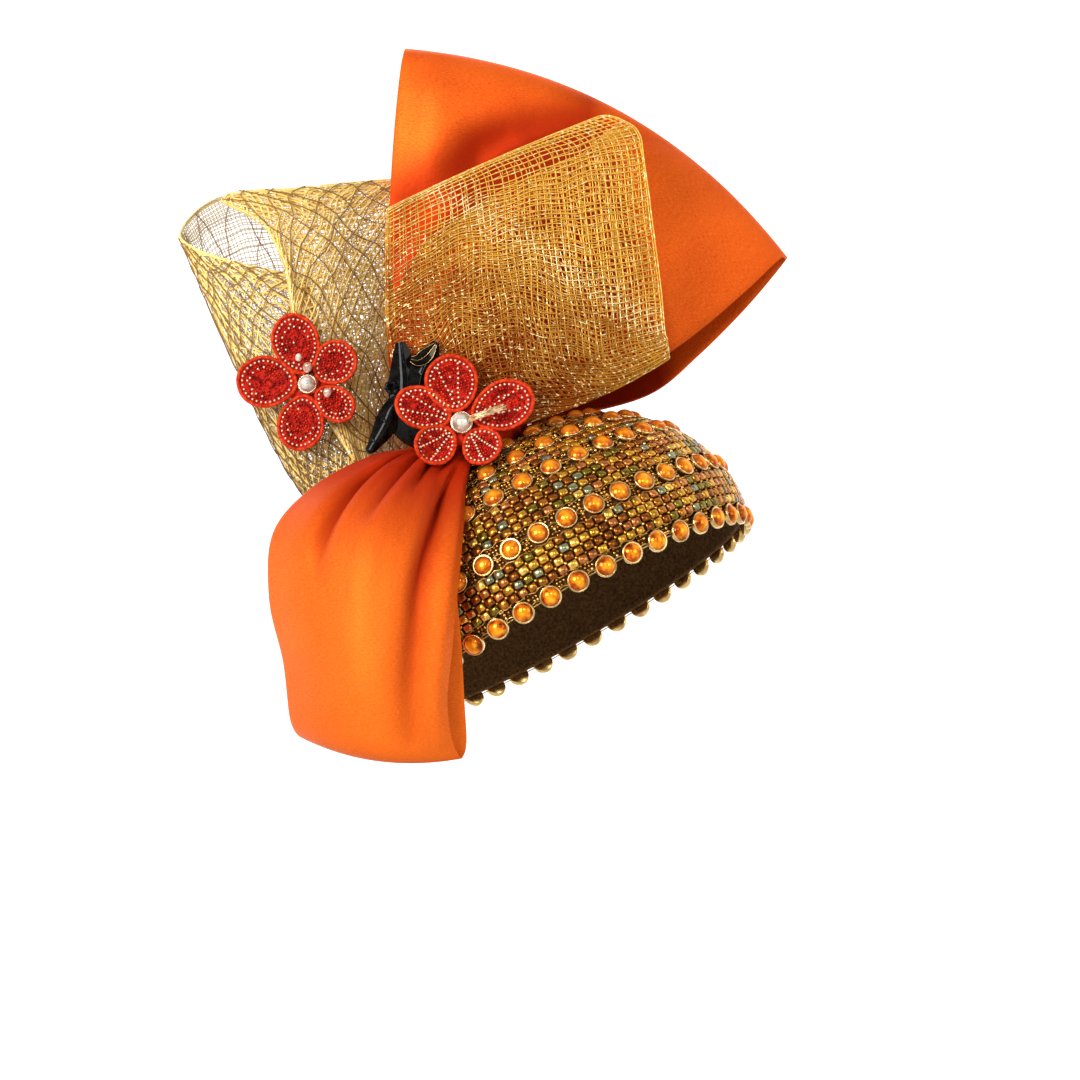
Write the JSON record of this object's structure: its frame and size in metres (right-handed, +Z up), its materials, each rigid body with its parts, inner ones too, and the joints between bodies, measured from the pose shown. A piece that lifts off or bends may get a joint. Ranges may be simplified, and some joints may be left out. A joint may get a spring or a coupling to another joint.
{
  "type": "fascinator",
  "caption": "Beaded half-dome cap with rows of set stones, worn to one side, with satin loops, gold net, red flowers and a black leaf spray gathered at a knot on top.",
  "frame": {"origin": "middle of the cap's rim, where it sits on the head", "axes": "+Z up as worn, -Y towards the side that the trimming faces, +X to the right as seen from there; the wearer looks 40 degrees to the right of -Y as seen from the front, and the cap's own axis leans 29.8 degrees to -X and 9.2 degrees to +Y"},
  "size_m": [0.2709, 0.205, 0.3122],
  "materials": {
    "beadwork": "cloth cap sewn all over with small gold, bronze and green glass cube beads",
    "amber_stones": "domed amber glass in gilt settings",
    "orange_satin": "orange satin with a soft sheen",
    "gold_net": "open gold net with metallic threads",
    "pale_gold_net": "open pale gold net with dark brown threads",
    "red_cloth": "red cloth edged with small white beads",
    "silver": "pale metal hub",
    "pearl": "clear round gem",
    "black_lacquer": "black gloss"
  },
  "bodies": {
    "root": {"cap_shell": "beadwork", "stone_row_rim": "amber_stones", "stone_row_low": "amber_stones", "stone_row_high": "amber_stones", "stone_row_crown": "amber_stones", "satin_fan": "orange_satin", "satin_side_loop": "orange_satin", "knot": "orange_satin", "net_roll": "gold_net", "net_cone": "pale_gold_net", "flower_upper_hub": "silver", "flower_upper_pearl": "pearl", "flower_lower_hub": "silver", "flower_lower_pearl": "pearl", "leaf_spray": "black_lacquer", "flower_upper_petal_1": "red_cloth", "flower_upper_petal_2": "red_cloth", "flower_upper_petal_3": "red_cloth", "flower_upper_petal_4": "red_cloth", "flower_upper_petal_5": "red_cloth", "flower_lower_petal_1": "red_cloth", "flower_lower_petal_2": "red_cloth", "flower_lower_petal_3": "red_cloth", "flower_lower_petal_4": "red_cloth", "flower_lower_petal_5": "red_cloth"}
  },
  "joints": []
}
